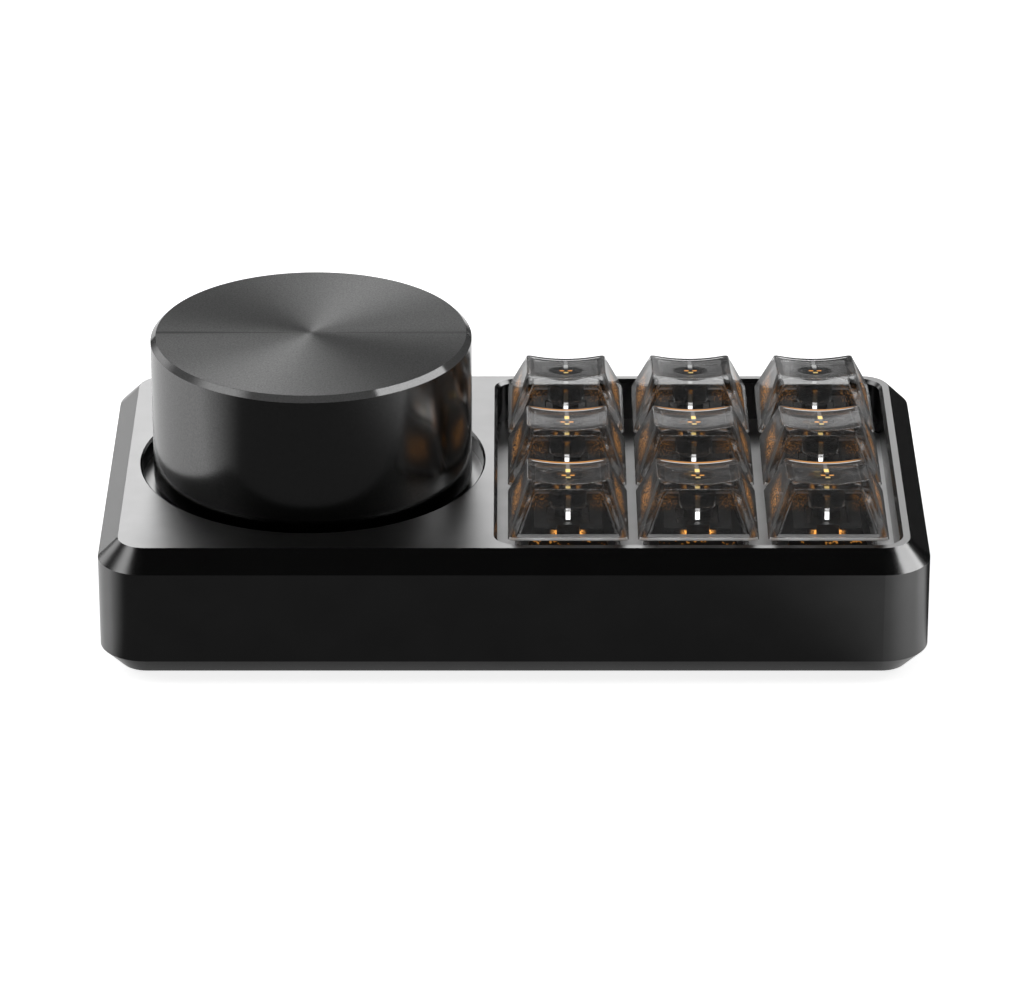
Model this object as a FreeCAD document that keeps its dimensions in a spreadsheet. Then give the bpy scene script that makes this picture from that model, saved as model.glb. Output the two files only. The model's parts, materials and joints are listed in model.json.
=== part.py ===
import FreeCAD, Part
import math
import os
import re

import Sketcher

# Macro keypad with one large knob and nine clear keys, in millimetres.
# The frame has +X to the right, +Y to the back and +Z up.
# Its origin is at the middle of the footprint, on the surface that the feet stand on.

SIZES = {
    # Case and base plate
    "case_length": 122.0,
    "case_depth": 68.0,
    "case_height": 20.0,
    "corner_radius": 7.0,
    "top_chamfer": 3.0,
    "base_chamfer": 3.0,
    "base_thickness": 3.2,
    "wall": 3.0,
    "corner_gusset": 8.0,
    "case_screw_inset": 5.8,
    # Rubber feet
    "foot_height": 1.0,
    "foot_radius": 4.0,
    "foot_recess": 0.8,
    "foot_inset": 13.0,
    # Opening for the keys
    "opening_size": 59.0,
    "opening_radius": 3.0,
    "opening_chamfer": 0.5,
    "opening_margin": 4.5,
    # Switch plate, circuit board and their spacers
    "plate_drop": 6.6,
    "plate_thickness": 1.5,
    "plate_lip": 4.0,
    "switch_cutout": 14.0,
    "board_gap": 3.5,
    "board_thickness": 1.6,
    "board_clearance": 0.3,
    "spacer_radius": 1.8,
    "spacer_neck_radius": 1.3,
    "spacer_neck_height": 0.8,
    "spacer_cap": 0.5,
    "boss_radius": 2.6,
    "boss_inset_x": 11.0,
    "boss_inset_y": 10.0,
    "pillar_radius": 2.0,
    "pillar_inset": 5.5,
    # Small screws
    "screw_radius": 1.0,
    "screw_clearance": 0.15,
    "screw_fit": 0.05,
    "screw_head_radius": 1.8,
    "screw_head_height": 1.2,
    "screw_length": 4.0,
    "screw_tip_gap": 0.5,
    "screw_hole_spare": 2.0,
    "screw_hex": 1.3,
    # Keys and keycaps
    "key_pitch": 19.05,
    "key_travel": 4.0,
    "cap_lift": 6.4,
    "cap_width": 17.7,
    "cap_depth": 18.1,
    "cap_top_width": 12.0,
    "cap_back_height": 5.8,
    "cap_front_height": 8.6,
    "cap_back_inset": 1.6,
    "cap_front_inset": 2.7,
    "cap_wall": 1.25,
    "cap_top_thickness": 1.2,
    "cap_skirt_radius": 0.8,
    "cap_crown_radius": 1.0,
    "cap_inner_radius": 0.5,
    "cap_ceiling_ease_width": 0.6,
    "cap_ceiling_ease_depth": 0.4,
    "dish_radius": 25.0,
    "dish_depth": 0.7,
    "cap_boss_radius": 2.75,
    "cap_boss_lift": 8.2,
    # Switch housings, measured from the top of the switch plate
    "flange_size": 15.6,
    "flange_thickness": 1.0,
    "housing_fit": 0.1,
    "housing_height": 6.6,
    "housing_top_width": 10.0,
    "housing_top_depth": 10.0,
    "housing_wall": 1.0,
    "guide_radius": 1.7,
    "guide_height": 3.0,
    "peg_length": 3.3,
    "peg_radius": 1.95,
    "side_peg_radius": 0.85,
    "side_peg_offset": 5.08,
    "lamp_offset": 4.7,
    "lamp_slot_width": 3.4,
    "lamp_slot_depth": 1.8,
    # Switch stem, spring and contact leaves
    "collar_size": 6.0,
    "collar_gap": 0.2,
    "collar_drop": 0.2,
    "skirt_length": 2.4,
    "wing_width": 7.4,
    "wing_thickness": 1.15,
    "wing_gap": 0.05,
    "cross_length": 4.0,
    "cross_thickness": 1.17,
    "cross_height": 4.0,
    "cross_fit": 0.03,
    "spike_radius": 1.0,
    "spike_fit": 0.1,
    "spike_length": 7.2,
    "spike_end_gap": 0.4,
    "spring_radius": 2.2,
    "spring_wire": 0.35,
    "spring_gap": 0.2,
    "leaf_thickness": 0.25,
    "leaf_width": 1.5,
    "leaf_height": 3.6,
    "leaf_offset": 4.4,
    "leaf_spacing": 0.6,
    "leaf_side": 1.6,
    "pin_width": 1.0,
    "pin_length": 3.0,
    "pin_slot_gap": 0.1,
    "left_pin_x": 3.81,
    "left_pin_y": 2.54,
    "right_pin_x": 2.54,
    "right_pin_y": 5.08,
    # Small parts on the circuit board
    "socket_length": 10.9,
    "socket_width": 4.7,
    "socket_height": 1.8,
    "socket_shift": 0.6,
    "socket_peg_gap": 0.3,
    "lamp_length": 3.2,
    "lamp_width": 1.5,
    "lamp_height": 1.9,
    "diode_length": 2.7,
    "diode_width": 1.6,
    "diode_height": 1.1,
    "diode_offset_x": 7.6,
    "diode_offset_y": 5.0,
    "chip_size": 7.0,
    "chip_height": 0.9,
    "chip_x": -14.0,
    "chip_y": 9.0,
    # USB inlet
    "usb_width": 8.94,
    "usb_height": 3.2,
    "usb_length": 7.3,
    "usb_shell": 0.3,
    "usb_stand_out": 0.4,
    "usb_corner": 1.4,
    "tongue_width": 6.7,
    "tongue_thickness": 0.7,
    "tongue_length": 5.0,
    "plug_width": 12.4,
    "plug_height": 6.8,
    "plug_corner": 2.6,
    # Knob and its recess
    "knob_inset": 30.75,
    "knob_radius": 23.95,
    "knob_rise": 20.8,
    "knob_chamfer": 0.8,
    "knob_lower_chamfer": 0.4,
    "knob_wall": 3.0,
    "knob_top_thickness": 4.5,
    "knob_boss_radius": 7.0,
    "knob_boss_length": 10.5,
    "knob_lift": 0.9,
    "ring_gap": 1.75,
    "recess_depth": 2.9,
    "recess_chamfer": 0.3,
    "recess_floor_thickness": 2.0,
    # Grub screw of the knob
    "grub_radius": 1.5,
    "grub_hex": 1.5,
    "grub_lift": 4.0,
    # Rotary encoder
    "encoder_width": 12.4,
    "encoder_depth": 13.4,
    "encoder_gap": 0.6,
    "encoder_cup_radius": 5.0,
    "encoder_cup_floor": 1.0,
    "bushing_flange": 1.0,
    "bushing_radius": 3.5,
    "bushing_length": 6.5,
    "bushing_hole_gap": 0.1,
    "shaft_radius": 3.0,
    "shaft_fit": 0.05,
    "shaft_length": 20.0,
    "shaft_flat": 0.5,
    "shaft_flat_length": 10.0,
    "shaft_end_gap": 0.3,
    "rotor_radius": 4.5,
    "rotor_thickness": 1.0,
    "rotor_gap": 0.3,
    "plunger_radius": 4.0,
    "plunger_thickness": 1.0,
    "plunger_nib_radius": 1.2,
    "plunger_nib_length": 1.0,
    "washer_radius": 5.8,
    "washer_thickness": 0.5,
    "nut_across_flats": 10.0,
    "nut_height": 2.0,
    "nut_fit": 0.05,
}

# Levels and places that follow from the sizes above.
PLACES = {
    "case_bottom": "foot_height + base_thickness",
    "case_top": "foot_height + case_height",
    "plate_top": "case_top - plate_drop",
    "plate_bottom": "plate_top - plate_thickness",
    "board_top": "plate_bottom - board_gap",
    "board_bottom": "board_top - board_thickness",
    "cavity_x": "case_length / 2 - wall",
    "cavity_y": "case_depth / 2 - wall",
    "board_x": "cavity_x - board_clearance",
    "board_y": "cavity_y - board_clearance",
    "case_screw_x": "case_length / 2 - case_screw_inset",
    "case_screw_y": "case_depth / 2 - case_screw_inset",
    "keys_x": "case_length / 2 - opening_margin - opening_size / 2",
    "plate_left": "keys_x - opening_size / 2 - plate_lip",
    "boss_left": "boss_inset_x - case_length / 2",
    "boss_right": "plate_left - boss_radius - board_clearance",
    "boss_y": "case_depth / 2 - boss_inset_y",
    "pillar_x": "case_length / 2 - pillar_inset",
    "knob_x": "knob_inset - case_length / 2",
    "recess_floor": "case_top - recess_depth",
    "recess_under": "recess_floor - recess_floor_thickness",
    "knob_bottom": "recess_floor + knob_lift",
    "knob_top": "case_top + knob_rise",
    "knob_ceiling": "knob_top - knob_top_thickness",
    "knob_boss_bottom": "knob_ceiling - knob_boss_length",
    "grub_z": "knob_boss_bottom + grub_lift",
    "shaft_top": "recess_under + shaft_length",
    "rotor_top": "recess_under - bushing_flange - rotor_gap",
    "rotor_bottom": "rotor_top - rotor_thickness",
    "usb_back": "board_y + usb_stand_out",
    "usb_axis": "board_top + usb_height / 2",
    "board_level": "-plate_thickness - board_gap",
    "floor_level": "board_level + housing_wall",
    "ceiling_level": "housing_height - housing_wall",
    "collar_level": "housing_height - collar_drop",
    "cross_level": "collar_level + cross_height",
    "wing_level": "ceiling_level - wing_gap",
    "skirt_level": "wing_level - wing_thickness - skirt_length",
    "pocket_level": "wing_level - wing_thickness",
    "spike_level": "pocket_level - spike_length",
    "cap_top_run": "cap_depth - cap_back_inset - cap_front_inset",
    "cap_tilt": "atan((cap_front_height - cap_back_height) / cap_top_run)",
    "cap_top_depth": "cap_top_run / cos(cap_tilt)",
    "cap_top_y": "(cap_front_inset - cap_back_inset) / 2",
    "cap_top_level": "cap_lift + (cap_front_height + cap_back_height) / 2",
    "body_size": "switch_cutout - housing_fit",
    "housing_inner": "body_size - 2 * housing_wall",
}

SAME_LENGTH = 1e-4
EDGE_MARGIN = 0.01
LEAST_CUT = 1e-3

document = FreeCAD.newDocument("MacroKeypad")
sheet = document.addObject("Spreadsheet::Sheet", "Sizes")
for number, (alias, size) in enumerate(SIZES.items(), start=1):
    sheet.set(f"A{number}", alias)
    sheet.set(f"B{number}", str(size))
    sheet.setAlias(f"B{number}", alias)
document.recompute()

pieces = []


def expression(text):
    """Write out a formula so that every name in it points at the sheet."""
    def spell(match):
        name = match.group(0)
        if name in SIZES:
            return f"Sizes.{name}"
        if name in PLACES:
            return f"({expression(PLACES[name])})"
        return name
    return re.sub(r"[A-Za-z_]\w*", spell, str(text))


def amount(text):
    """The present value of a formula."""
    result = sheet.evalExpression(expression(text))
    return float(getattr(result, "Value", result))


def bind(item, **formulas):
    for name, formula in formulas.items():
        item.setExpression(name.replace("__", "."), expression(formula))


def place(item, x="0", y="0", z="0"):
    bind(item, Placement__Base__x=x, Placement__Base__y=y, Placement__Base__z=z)


def keep(item, label):
    """Name a finished sub-part, which is also the name of its file."""
    item.Label = label
    pieces.append(item)
    return item


def new_body(name):
    return document.addObject("PartDesign::Body", name)


def new_sketch(body, name, level="0", role="XY_Plane", tilt=None, shift="0"):
    """A sketch on one of the body's own planes, raised along its normal and tilted about X."""
    sketch = body.newObject("Sketcher::SketchObject", name)
    base = next(feature for feature in body.Origin.OriginFeatures if feature.Role == role)
    sketch.AttachmentSupport = (base, "")
    sketch.MapMode = "FlatFace"
    if tilt:
        axis = FreeCAD.Vector(1, 0, 0)
        sketch.AttachmentOffset = FreeCAD.Placement(FreeCAD.Vector(), FreeCAD.Rotation(axis, amount(tilt)))
        bind(sketch, AttachmentOffset__Rotation__Angle=tilt)
    bind(sketch, AttachmentOffset__Base__y=shift, AttachmentOffset__Base__z=level)
    return sketch


def fix_point(sketch, item, point, x, y):
    for kind, formula in (("DistanceX", x), ("DistanceY", y)):
        index = sketch.addConstraint(Sketcher.Constraint(kind, -1, 1, item, point, amount(formula)))
        sketch.setExpression(f"Constraints[{index}]", expression(formula))


def draw_outline(sketch, corners):
    """A closed outline of straight lines, each corner held by its own pair of formulas."""
    points = [FreeCAD.Vector(amount(x), amount(y), 0) for x, y in corners]
    count = len(points)
    first = len(sketch.Geometry)
    for index in range(count):
        sketch.addGeometry(Part.LineSegment(points[index], points[(index + 1) % count]))
    for index, (x, y) in enumerate(corners):
        following = first + (index + 1) % count
        sketch.addConstraint(Sketcher.Constraint("Coincident", first + index, 2, following, 1))
        fix_point(sketch, first + index, 1, x, y)


def draw_rectangle(sketch, width, depth, x="0", y="0"):
    left, right = f"({x}) - ({width}) / 2", f"({x}) + ({width}) / 2"
    front, back = f"({y}) - ({depth}) / 2", f"({y}) + ({depth}) / 2"
    draw_outline(sketch, [(left, front), (right, front), (right, back), (left, back)])


def draw_rounded_rectangle(sketch, width, depth, radius, middle="0"):
    """A rectangle whose corners are arcs, centred on the X axis at the given middle."""
    left, right = f"({middle}) - ({width}) / 2", f"({middle}) + ({width}) / 2"
    y, r = f"({depth}) / 2", f"({radius})"
    ends = [(f"{left} + {r}", f"-({y})"), (f"{right} - {r}", f"-({y})"),
            (right, f"-({y} - {r})"), (right, f"{y} - {r}"),
            (f"{right} - {r}", y), (f"{left} + {r}", y), (left, f"{y} - {r}"), (left, f"-({y} - {r})")]
    points = [FreeCAD.Vector(amount(a), amount(b), 0) for a, b in ends]
    size = amount(radius)
    up = FreeCAD.Vector(0, 0, 1)
    for side in range(4):
        sketch.addGeometry(Part.LineSegment(points[2 * side], points[2 * side + 1]))
        along = (points[2 * side + 1] - points[2 * side]).normalize()
        centre = points[2 * side + 1] + up.cross(along) * size
        start = math.pi / 2 * (side - 1)
        sketch.addGeometry(Part.ArcOfCircle(Part.Circle(centre, up, size), start, start + math.pi / 2))
    for side in range(4):
        line, arc, following = 2 * side, 2 * side + 1, (2 * side + 2) % 8
        sketch.addConstraint(Sketcher.Constraint("Coincident", line, 2, arc, 1))
        sketch.addConstraint(Sketcher.Constraint("Coincident", arc, 2, following, 1))
        fix_point(sketch, line, 1, *ends[2 * side])
        fix_point(sketch, line, 2, *ends[2 * side + 1])
        index = sketch.addConstraint(Sketcher.Constraint("Radius", arc, size))
        sketch.setExpression(f"Constraints[{index}]", expression(radius))


def draw_cross(sketch, length, thickness):
    far, near = f"({length}) / 2", f"({thickness}) / 2"
    quarter = [(far, near), (near, near), (near, far)]
    corners = []
    for turn in range(4):
        for x, y in quarter:
            corners.append([(x, y), (f"-({y})", x), (f"-({x})", f"-({y})"), (y, f"-({x})")][turn])
    draw_outline(sketch, corners)


def draw_circle(sketch, radius, x="0", y="0"):
    centre = FreeCAD.Vector(amount(x), amount(y), 0)
    item = sketch.addGeometry(Part.Circle(centre, FreeCAD.Vector(0, 0, 1), amount(radius)))
    fix_point(sketch, item, 3, x, y)
    index = sketch.addConstraint(Sketcher.Constraint("Radius", item, amount(radius)))
    sketch.setExpression(f"Constraints[{index}]", expression(radius))


def extrude(body, kind, sketch, length=None, reverse=False):
    """A pad or a pocket of the sketch; with no length a pocket goes right through."""
    feature = body.newObject(f"PartDesign::{kind}", f"{sketch.Name}{kind}")
    feature.Profile = sketch
    feature.Reversed = reverse
    if length is None:
        feature.Type = "ThroughAll"
    else:
        bind(feature, Length=length)
    sketch.Visibility = False
    return feature


def pad(body, sketch, length, reverse=False):
    return extrude(body, "Pad", sketch, length, reverse)


def pocket(body, sketch, length=None, reverse=False):
    return extrude(body, "Pocket", sketch, length, reverse)


def loft(body, kind, lower, upper):
    feature = body.newObject(f"PartDesign::{kind}", f"{lower.Name}{kind}")
    feature.Profile = lower
    feature.Sections = [(upper, [""])]
    feature.Ruled = True
    return feature


def revolve(body, sketch):
    feature = body.newObject("PartDesign::Revolution", f"{sketch.Name}Revolution")
    feature.Profile = sketch
    feature.ReferenceAxis = (sketch, ["V_Axis"])
    feature.Angle = 360
    return feature


def dress(body, kind, size, wanted):
    """Fillet or chamfer the edges of the body's tip that the test picks."""
    document.recompute()
    tip = body.Tip
    names = [f"Edge{number}" for number, edge in enumerate(tip.Shape.Edges, start=1) if wanted(edge)]
    if not names:
        raise RuntimeError(f"{body.Name}: no edge found for a {kind}")
    feature = body.newObject(f"PartDesign::{kind}", f"{body.Name}{kind}{len(body.Group)}")
    feature.Base = (tip, names)
    bind(feature, **{"Radius" if kind == "Fillet" else "Size": size})
    return feature


def near(first, second):
    return abs(first - second) < SAME_LENGTH


def upright_at(half_x, half_y):
    """Test for vertical edges that stand at the corners of a rectangle round the origin."""
    half, depth = amount(half_x), amount(half_y)

    def wanted(edge):
        start, end = edge.Vertexes[0].Point, edge.Vertexes[-1].Point
        upright = near(start.x, end.x) and near(start.y, end.y) and not near(start.z, end.z)
        return upright and near(abs(start.x), half) and near(abs(start.y), depth)
    return wanted


def flat_at(level, extra=lambda edge: True):
    """Test for edges that lie wholly at one height."""
    height = amount(level)

    def wanted(edge):
        box = edge.BoundBox
        return near(box.ZMin, height) and near(box.ZMax, height) and extra(edge)
    return wanted


def round_edge(radius):
    size = amount(radius)
    return lambda edge: isinstance(edge.Curve, Part.Circle) and near(edge.Curve.Radius, size)


def within(half_x, half_y, middle_x="0"):
    """Test for edges inside a rectangle, as seen from above."""
    x, half, depth = amount(middle_x), amount(half_x), amount(half_y)

    def wanted(edge):
        box = edge.BoundBox
        inside_x = box.XMin > x - half - EDGE_MARGIN and box.XMax < x + half + EDGE_MARGIN
        return inside_x and box.YMin > -depth - EDGE_MARGIN and box.YMax < depth + EDGE_MARGIN
    return wanted


def link(master, name, x="0", y="0", z="0"):
    """One more of the same piece, at its own place."""
    copy = document.addObject("App::Link", name)
    copy.LinkedObject = master
    copy.LinkTransform = True
    place(copy, x, y, z)
    return copy


def group(label, copies):
    """Identical small pieces that share one node as separate solids."""
    compound = document.addObject("Part::Compound", label)
    compound.Links = copies
    return keep(compound, label)


def box(name, length, width, height, x="0", y="0", z="0"):
    """A plain block, centred on x and y and standing on z."""
    block = document.addObject("Part::Box", name)
    bind(block, Length=length, Width=width, Height=height)
    place(block, f"({x}) - ({length}) / 2", f"({y}) - ({width}) / 2", z)
    return block


def cylinder(name, radius, height, x="0", y="0", z="0"):
    rod = document.addObject("Part::Cylinder", name)
    bind(rod, Radius=radius, Height=height)
    place(rod, x, y, z)
    return rod


def cut(name, base, tool):
    result = document.addObject("Part::Cut", name)
    result.Base = base
    result.Tool = tool
    return result


def fuse(name, items):
    result = document.addObject("Part::MultiFuse", name)
    result.Shapes = items
    return result


def key_places():
    """Number, x and y of each key, from the back left to the front right."""
    number = 0
    for row in (1, 0, -1):
        for column in (-1, 0, 1):
            number += 1
            yield number, f"keys_x + {column} * key_pitch", f"{row} * key_pitch"


def spacer_places():
    return [(f"keys_x + {x} * key_pitch / 2", f"{y} * key_pitch / 2") for x in (-1, 1) for y in (-1, 1)]


def boss_places():
    return [(x, f"{side} * boss_y") for x in ("boss_left", "boss_right") for side in (-1, 1)]


def case_screw_places():
    return [(f"{x} * case_screw_x", f"{y} * case_screw_y") for x in (-1, 1) for y in (-1, 1)]


def foot_places():
    x, y = "(case_length / 2 - foot_inset)", "(case_depth / 2 - foot_inset)"
    return [(f"{i} * {x}", f"{j} * {y}") for i in (-1, 1) for j in (-1, 1)]


def cut_corners(half_x, half_y, gusset):
    """A rectangle's outline with its four corners cut off at 45 degrees."""
    x, y, g = f"({half_x})", f"({half_y})", f"({gusset})"
    return [(f"-{x} + {g}", f"-{y}"), (f"{x} - {g}", f"-{y}"), (x, f"-{y} + {g}"), (x, f"{y} - {g}"),
            (f"{x} - {g}", y), (f"-{x} + {g}", y), (f"-{x}", f"{y} - {g}"), (f"-{x}", f"-{y} + {g}")]


def make_case():
    body = new_body("Case")
    outline = new_sketch(body, "CaseOutline", "case_bottom")
    draw_rectangle(outline, "case_length", "case_depth")
    pad(body, outline, "case_top - case_bottom")
    dress(body, "Fillet", "corner_radius", upright_at("case_length / 2", "case_depth / 2"))
    dress(body, "Chamfer", "top_chamfer", flat_at("case_top"))

    cavity = new_sketch(body, "CaseCavity", "case_bottom")
    draw_outline(cavity, cut_corners("cavity_x", "cavity_y", "corner_gusset"))
    pocket(body, cavity, "plate_top - case_bottom", reverse=True)

    opening = new_sketch(body, "KeyOpening", "case_top")
    draw_rounded_rectangle(opening, "opening_size", "opening_size", "opening_radius", "keys_x")
    pocket(body, opening, "plate_drop")
    rim = within("opening_size / 2", "opening_size / 2", "keys_x")
    dress(body, "Chamfer", "opening_chamfer", flat_at("case_top", rim))

    recess = new_sketch(body, "KnobRecess", "case_top")
    draw_circle(recess, "knob_radius + ring_gap", "knob_x")
    pocket(body, recess, "recess_depth")
    edge = round_edge("knob_radius + ring_gap")
    dress(body, "Chamfer", "recess_chamfer", flat_at("case_top", edge))

    seat = new_sketch(body, "EncoderSeat", "plate_top")
    width, depth = "encoder_width + 2 * encoder_gap", "encoder_depth + 2 * encoder_gap"
    draw_rectangle(seat, width, depth, "knob_x")
    pocket(body, seat, "recess_under - plate_top", reverse=True)
    hole = new_sketch(body, "BushingHole", "recess_floor")
    draw_circle(hole, "bushing_radius + bushing_hole_gap", "knob_x")
    pocket(body, hole, "recess_floor_thickness")

    bosses = new_sketch(body, "BoardBosses", "board_top")
    for x, y in boss_places():
        draw_circle(bosses, "boss_radius", x, y)
    pad(body, bosses, "plate_top - board_top")
    boss_holes = new_sketch(body, "BoardBossHoles", "board_top")
    for x, y in boss_places():
        draw_circle(boss_holes, "screw_radius + screw_fit", x, y)
    pocket(body, boss_holes, "screw_length", reverse=True)
    corner_holes = new_sketch(body, "CaseScrewHoles", "case_bottom")
    for x, y in case_screw_places():
        draw_circle(corner_holes, "screw_radius + screw_fit", x, y)
    pocket(body, corner_holes, "screw_length + screw_hole_spare", reverse=True)

    inlet = new_sketch(body, "PlugCutout", "-case_depth / 2", "XZ_Plane")
    draw_rectangle(inlet, "plug_width", "plug_height", "knob_x", "usb_axis")
    pocket(body, inlet, "wall", reverse=True)
    half_width, half_height = amount("plug_width / 2"), amount("plug_height / 2")
    middle_x, middle_z = amount("knob_x"), amount("usb_axis")

    def inlet_corner(edge):
        start, end = edge.Vertexes[0].Point, edge.Vertexes[-1].Point
        along = near(start.x, end.x) and near(start.z, end.z) and not near(start.y, end.y)
        at_x, at_z = near(abs(start.x - middle_x), half_width), near(abs(start.z - middle_z), half_height)
        return along and at_x and at_z
    dress(body, "Fillet", "plug_corner", inlet_corner)
    keep(body, "case")


def make_base_plate():
    body = new_body("BasePlate")
    outline = new_sketch(body, "BaseOutline", "foot_height")
    draw_rectangle(outline, "case_length", "case_depth")
    pad(body, outline, "base_thickness")
    dress(body, "Fillet", "corner_radius", upright_at("case_length / 2", "case_depth / 2"))
    dress(body, "Chamfer", "base_chamfer", flat_at("foot_height"))

    pillars = new_sketch(body, "BoardPillars", "case_bottom")
    for side in (-1, 1):
        draw_circle(pillars, "pillar_radius", "pillar_x", f"{side} * key_pitch / 2")
    pad(body, pillars, "board_bottom - case_bottom")

    screws = new_sketch(body, "BaseScrewHoles", "case_bottom")
    for x, y in case_screw_places():
        draw_circle(screws, "screw_radius + screw_clearance", x, y)
    pocket(body, screws, "base_thickness")
    edge = round_edge("screw_radius + screw_clearance")
    dress(body, "Chamfer", "screw_head_radius - screw_radius", flat_at("foot_height", edge))

    seats = new_sketch(body, "FootSeats", "foot_height")
    for x, y in foot_places():
        draw_circle(seats, "foot_radius + screw_fit", x, y)
    pocket(body, seats, "foot_recess", reverse=True)
    keep(body, "bottom_plate")

    foot = cylinder("Foot", "foot_radius", "foot_height + foot_recess")
    feet = [link(foot, f"Foot{n}", x, y) for n, (x, y) in enumerate(foot_places(), start=1)]
    group("rubber_feet", feet)


def make_screws():
    """Countersunk screws for the base, and pan-head ones for the board."""
    body = new_body("CaseScrew")
    profile = new_sketch(body, "CaseScrewProfile", role="XZ_Plane")
    shank, head = "screw_radius", "screw_head_radius"
    length = "base_thickness + screw_length"
    draw_outline(profile, [("0", "0"), (head, "0"), (shank, f"{head} - {shank}"),
                           (shank, length), ("0", length)])
    revolve(body, profile)
    drive = new_sketch(body, "CaseScrewDrive")
    draw_rectangle(drive, "screw_hex", "screw_hex")
    pocket(body, drive, "screw_head_height / 2", reverse=True)
    group("case_screws", [link(body, f"CaseScrew{n}", x, y, "foot_height")
                          for n, (x, y) in enumerate(case_screw_places(), start=1)])

    body = new_body("BoardScrew")
    profile = new_sketch(body, "BoardScrewProfile", role="XZ_Plane")
    tip = "board_thickness + board_gap - spacer_cap - screw_tip_gap"
    under = "-screw_head_height"
    draw_outline(profile, [("0", under), (head, under), (head, "0"), (shank, "0"), (shank, tip), ("0", tip)])
    revolve(body, profile)
    drive = new_sketch(body, "BoardScrewDrive", under)
    draw_rectangle(drive, "screw_hex", "screw_hex")
    pocket(body, drive, "screw_head_height / 2", reverse=True)
    spots = spacer_places() + boss_places()
    group("board_screws", [link(body, f"BoardScrew{n}", x, y, "board_bottom")
                           for n, (x, y) in enumerate(spots, start=1)])


def make_switch_plate():
    body = new_body("SwitchPlate")
    outline = new_sketch(body, "PlateOutline", "plate_bottom")
    draw_outline(outline, [("plate_left", "-board_y"), ("board_x - corner_gusset", "-board_y"),
                           ("board_x", "corner_gusset - board_y"), ("board_x", "board_y - corner_gusset"),
                           ("board_x - corner_gusset", "board_y"), ("plate_left", "board_y")])
    pad(body, outline, "plate_thickness")
    holes = new_sketch(body, "SwitchCutouts", "plate_top")
    for _, x, y in key_places():
        draw_rectangle(holes, "switch_cutout", "switch_cutout", x, y)
    pocket(body, holes)
    necks = new_sketch(body, "SpacerSeats", "plate_bottom")
    for x, y in spacer_places():
        draw_circle(necks, "spacer_neck_radius + screw_fit", x, y)
    pocket(body, necks, "spacer_neck_height", reverse=True)
    keep(body, "switch_plate")

    sleeve = cylinder("SpacerSleeve", "spacer_radius", "board_gap")
    neck = cylinder("SpacerNeck", "spacer_neck_radius", "spacer_neck_height", z="board_gap")
    thread = cylinder("SpacerThread", "screw_radius + screw_fit", "board_gap - spacer_cap")
    spacer = cut("Spacer", fuse("SpacerForm", [sleeve, neck]), thread)
    group("plate_spacers", [link(spacer, f"Spacer{n}", x, y, "board_top")
                            for n, (x, y) in enumerate(spacer_places(), start=1)])


def contact_pins():
    """Place of each switch pin, measured from the middle of its key."""
    return [("-left_pin_x", "left_pin_y"), ("right_pin_x", "right_pin_y")]


def make_board():
    body = new_body("Board")
    outline = new_sketch(body, "BoardOutline", "board_bottom")
    draw_outline(outline, cut_corners("board_x", "board_y", "corner_gusset"))
    pad(body, outline, "board_thickness")
    holes = new_sketch(body, "BoardHoles", "board_top")
    for _, x, y in key_places():
        draw_circle(holes, "peg_radius + screw_clearance", x, y)
        for side in (-1, 1):
            draw_circle(holes, "side_peg_radius + screw_clearance", f"{x} + {side} * side_peg_offset", y)
        for pin_x, pin_y in contact_pins():
            draw_circle(holes, "pin_width / 2 + screw_clearance", f"{x} + ({pin_x})", f"{y} + ({pin_y})")
    for x, y in spacer_places() + boss_places():
        draw_circle(holes, "screw_radius + screw_clearance", x, y)
    pocket(body, holes)
    keep(body, "circuit_board")


def make_board_parts():
    """The chip, and the small parts that every key has on the board."""
    chip = box("Chip", "chip_size", "chip_size", "chip_height", "chip_x", "chip_y", "board_top")
    keep(chip, "microcontroller")

    block = box("SocketBlock", "socket_length", "socket_width", "socket_height",
                "-socket_shift", "(right_pin_y + left_pin_y) / 2", "-socket_height")
    bore = "pin_width / 2 + screw_clearance"
    bores = [cylinder(f"SocketBore{n}", bore, "socket_height", x, y, "-socket_height")
             for n, (x, y) in enumerate(contact_pins(), start=1)]
    peg_room = cylinder("SocketPegRoom", "peg_radius + socket_peg_gap", "socket_height", z="-socket_height")
    socket = cut("Socket", block, fuse("SocketHoles", bores + [peg_room]))
    lamp = box("Lamp", "lamp_length", "lamp_width", "lamp_height")
    diode = box("Diode", "diode_width", "diode_length", "diode_height")
    sockets, lamps, diodes = [], [], []
    for number, x, y in key_places():
        sockets.append(link(socket, f"Socket{number}", x, y, "board_bottom"))
        lamps.append(link(lamp, f"Lamp{number}", x, f"{y} - lamp_offset", "board_top"))
        diodes.append(link(diode, f"Diode{number}", f"{x} - diode_offset_x", f"{y} - diode_offset_y",
                           "board_bottom - diode_height"))
    group("hot_swap_sockets", sockets)
    group("key_lamps", lamps)
    group("diodes", diodes)


def rounded_bar(name, width, height, corner, back, length):
    """A bar along Y with rounded long edges, on the axis of the inlet, reaching forwards from its back."""
    body = new_body(name)
    outline = new_sketch(body, f"{name}Outline", f"-({back})", "XZ_Plane")
    draw_rectangle(outline, width, height, "knob_x", "usb_axis")
    pad(body, outline, length)
    reach = amount(length)
    dress(body, "Fillet", corner, lambda edge: near(edge.BoundBox.YLength, reach))
    return body


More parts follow.
